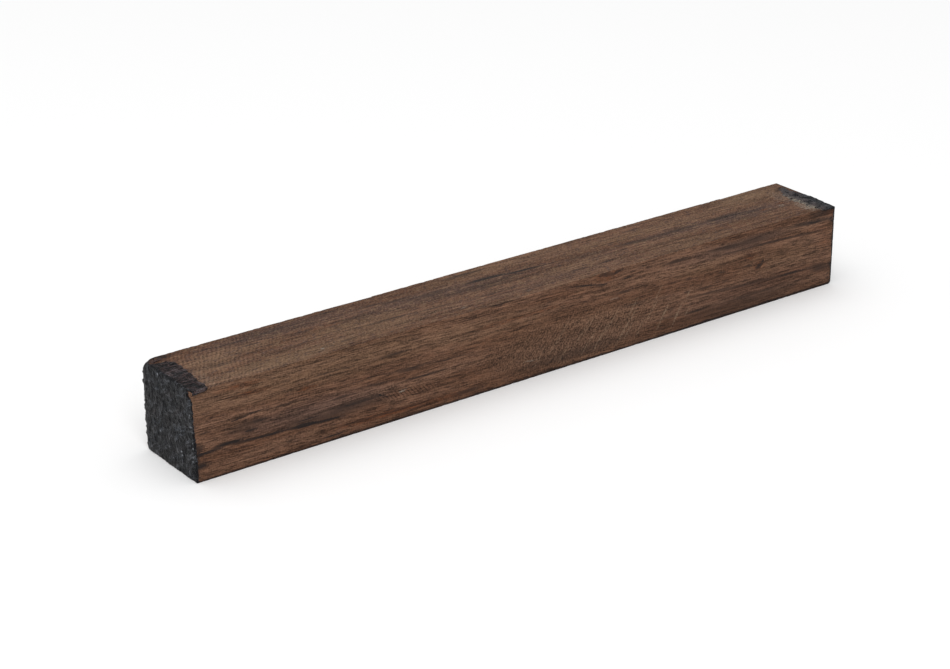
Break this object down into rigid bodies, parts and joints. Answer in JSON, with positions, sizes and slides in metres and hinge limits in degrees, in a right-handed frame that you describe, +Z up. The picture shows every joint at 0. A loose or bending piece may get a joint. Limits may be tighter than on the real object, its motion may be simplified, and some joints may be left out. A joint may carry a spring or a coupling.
{
  "type": "wood turning blank",
  "caption": "Square, rough-sawn blank of dark, streaky hardwood for the lathe, with black wax brushed over both end grains to slow drying.",
  "frame": {"origin": "middle of the underside, on the surface that the blank lies on", "axes": "+X along the grain towards the far end, -Y out of the front face, +Z up out of the top face that the wax laps onto"},
  "size_m": [0.352, 0.0404, 0.0405],
  "materials": {
    "dark_hardwood": "matte",
    "black_wax": "satin"
  },
  "bodies": {
    "root": {"sawn_blank": "dark_hardwood", "near_end_seal": "black_wax", "far_end_seal": "black_wax"}
  },
  "joints": []
}
